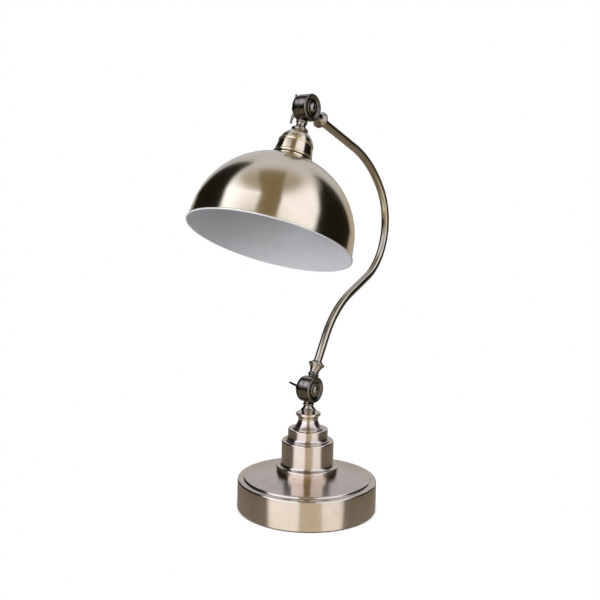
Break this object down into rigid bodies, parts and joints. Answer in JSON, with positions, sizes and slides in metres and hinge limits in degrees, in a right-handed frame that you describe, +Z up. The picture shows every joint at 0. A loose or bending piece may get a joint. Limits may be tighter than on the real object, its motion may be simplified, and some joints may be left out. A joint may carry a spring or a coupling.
{
  "type": "desk lamp",
  "caption": "Desk lamp with a weighted round base, a turned pedestal, a bowed tube arm that tilts at both ends and a spun dome shade over a screw lampholder.",
  "frame": {"origin": "centre of the underside of the base, on the surface that the lamp stands on", "axes": "+Z up; the shade leans out towards -Y and the arm bows back towards +Y, both in the plane X = 0; both knuckles turn about X, with their bolt heads on +X and their wing nuts on -X"},
  "size_m": [0.1798, 0.3212, 0.4679],
  "materials": {
    "antique_brass": "brushed antique brass with a satin lacquer",
    "cap_brass": "brushed antique brass with a satin lacquer",
    "shade_brass": "brushed antique brass outside, matte white enamel inside",
    "joint_brass": "dark antique brass, brighter on worn edges",
    "bolt_brass": "antique brass",
    "tube_brass": "brushed antique brass with a satin lacquer",
    "zinc_steel": "zinc-plated steel",
    "iron_weight": "as cast",
    "foam_pad": "soft foam",
    "black_plastic": "moulded, fine satin",
    "fibre_washer": "pressed fibre",
    "socket_brass": "bright brass",
    "lead_sleeve": "plain sleeve"
  },
  "bodies": {
    "base": {"base_cover": "antique_brass", "base_weight": "iron_weight", "base_pad": "foam_pad", "cord_bushing": "black_plastic", "pedestal_drum": "antique_brass", "pedestal_tier": "antique_brass", "pedestal_bell": "antique_brass", "threaded_rod": "zinc_steel", "rod_washer": "zinc_steel", "rod_nut": "zinc_steel", "base_knuckle": "joint_brass", "lower_friction_washer": "fibre_washer", "lower_spring_washer": "zinc_steel", "base_lead": "lead_sleeve"},
    "arm": {"arm_lower_knuckle": "joint_brass", "arm_upper_knuckle": "joint_brass", "arm_tube": "tube_brass", "arm_lead": "lead_sleeve", "lower_bolt": "bolt_brass", "lower_face_washer": "bolt_brass", "upper_bolt": "bolt_brass", "upper_face_washer": "bolt_brass"},
    "head": {"head_knuckle": "joint_brass", "upper_friction_washer": "fibre_washer", "upper_spring_washer": "zinc_steel", "neck_ring": "cap_brass", "socket_cap": "cap_brass", "shade": "shade_brass", "lampholder_body": "black_plastic", "screw_shell": "socket_brass", "centre_contact": "socket_brass", "shade_ring": "black_plastic", "head_lead": "lead_sleeve", "head_nipple": "zinc_steel", "nipple_nut": "zinc_steel"},
    "lower_wing_nut": {"lower_wing_nut": "bolt_brass"},
    "upper_wing_nut": {"upper_wing_nut": "bolt_brass"}
  },
  "joints": [
    {"name": "lower_tilt", "type": "hinge", "parent": "base", "child": "arm", "pos_m": [0, 0, 0.1387], "axis": [1, 0, 0], "range_deg": [-40, 30]},
    {"name": "upper_tilt", "type": "hinge", "parent": "arm", "child": "head", "pos_m": [0, -0.01739, 0.4512], "axis": [1, 0, 0], "range_deg": [-60, 45]},
    {"name": "lower_nut_turn", "type": "hinge", "parent": "arm", "child": "lower_wing_nut", "pos_m": [-0.0135, 0, 0.1387], "axis": [1, 0, 0], "continuous": true},
    {"name": "upper_nut_turn", "type": "hinge", "parent": "arm", "child": "upper_wing_nut", "pos_m": [-0.0135, -0.01739, 0.4512], "axis": [1, 0, 0], "continuous": true}
  ]
}
